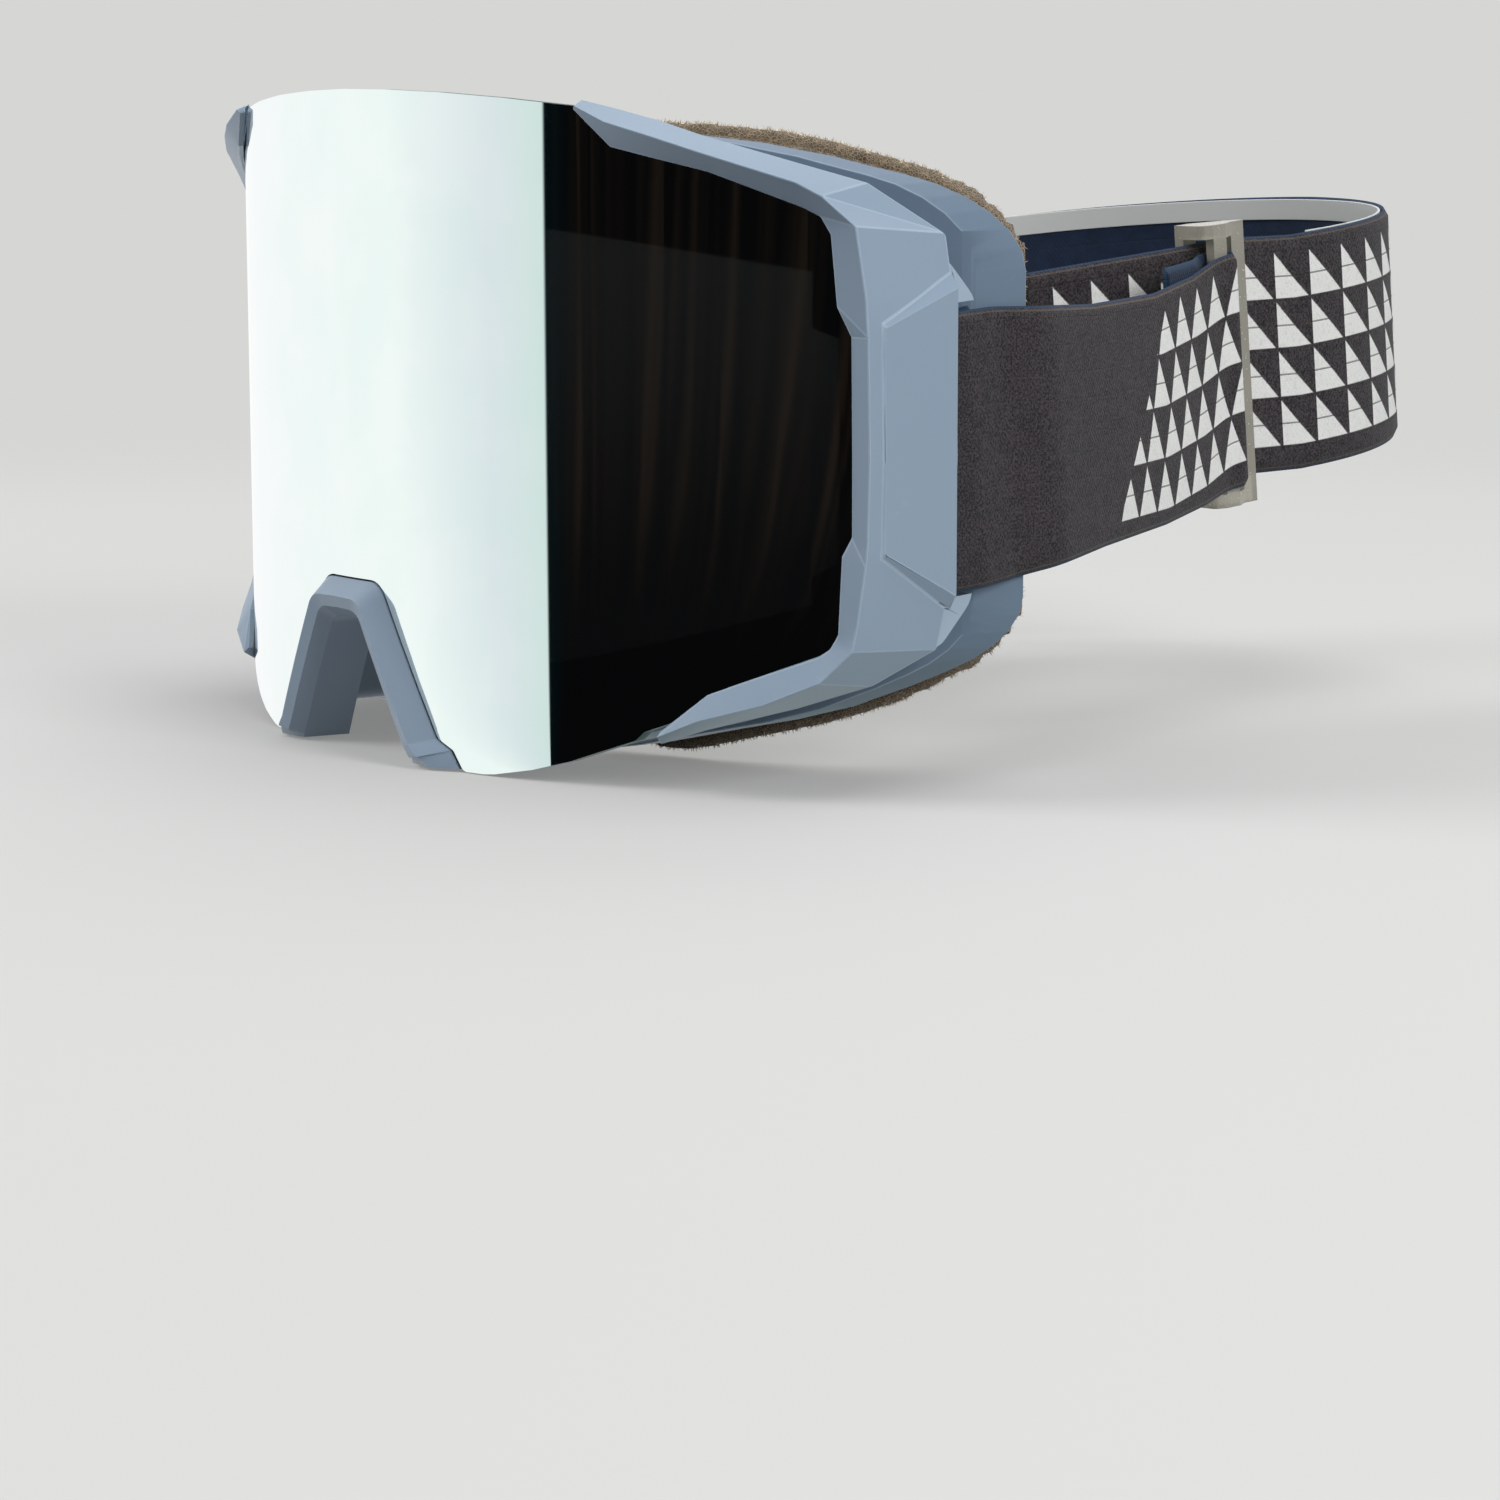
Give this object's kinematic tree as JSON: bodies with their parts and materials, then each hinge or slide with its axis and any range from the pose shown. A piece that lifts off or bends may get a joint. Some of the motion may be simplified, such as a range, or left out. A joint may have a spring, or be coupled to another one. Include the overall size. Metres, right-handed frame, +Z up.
{
  "type": "snow goggles",
  "caption": "Ski goggles with a cylindrical mirror lens, faceted side covers, layered face foam and a patterned elastic strap on sliders.",
  "frame": {"origin": "under the middle of the object's box, in the plane that the two lower lobes of the lens touch", "axes": "+X across the face towards the right cover as seen from the front of the lens with +Z up, +Y from the lens back towards the wearer and the strap, +Z up"},
  "size_m": [0.1864, 0.2218, 0.1087],
  "materials": {
    "mirror_lens": "mirror coated polycarbonate",
    "lens_gasket": "black closed-cell sealing band",
    "clear_lens": "clear tinted inner lens",
    "frame_blue": "satin moulded frame, deep steel blue",
    "cover_blue": "satin moulded covers, light steel blue",
    "plate_blue": "satin moulded anchor plates, pale blue",
    "screw_steel": "plain steel cross-head screws",
    "firm_foam": "open-cell foam, dark grey",
    "soft_foam": "open-cell foam, brown grey",
    "fleece": "short brown grey pile",
    "vent_foam": "thin open foam, black",
    "strap_print": "elastic webbing, charcoal with white triangles",
    "slider_clear": "smoky translucent moulded sliders",
    "silicone": "pale silicone lines"
  },
  "bodies": {
    "mask": {"outer_lens": "mirror_lens", "lens_gasket": "lens_gasket", "inner_lens": "clear_lens", "main_frame": "frame_blue", "side_cover_right": "cover_blue", "side_cover_left": "cover_blue", "nose_rim": "cover_blue", "anchor_plate_right": "plate_blue", "anchor_plate_left": "plate_blue", "anchor_screws": "screw_steel", "foam_base": "firm_foam", "foam_mid": "soft_foam", "foam_fleece": "fleece", "vent_foam_top": "vent_foam", "vent_foam_bottom": "vent_foam", "strap_front_right": "strap_print", "strap_front_left": "strap_print", "slider_right": "slider_clear", "slider_left": "slider_clear"},
    "back_strap": {"strap_back": "strap_print", "grip_print": "silicone"}
  },
  "joints": [
    {"name": "strap_length", "type": "slide", "parent": "mask", "child": "back_strap", "axis": [0, 0.9954, 0.0958], "range_m": [-0.015, 0.025]}
  ]
}
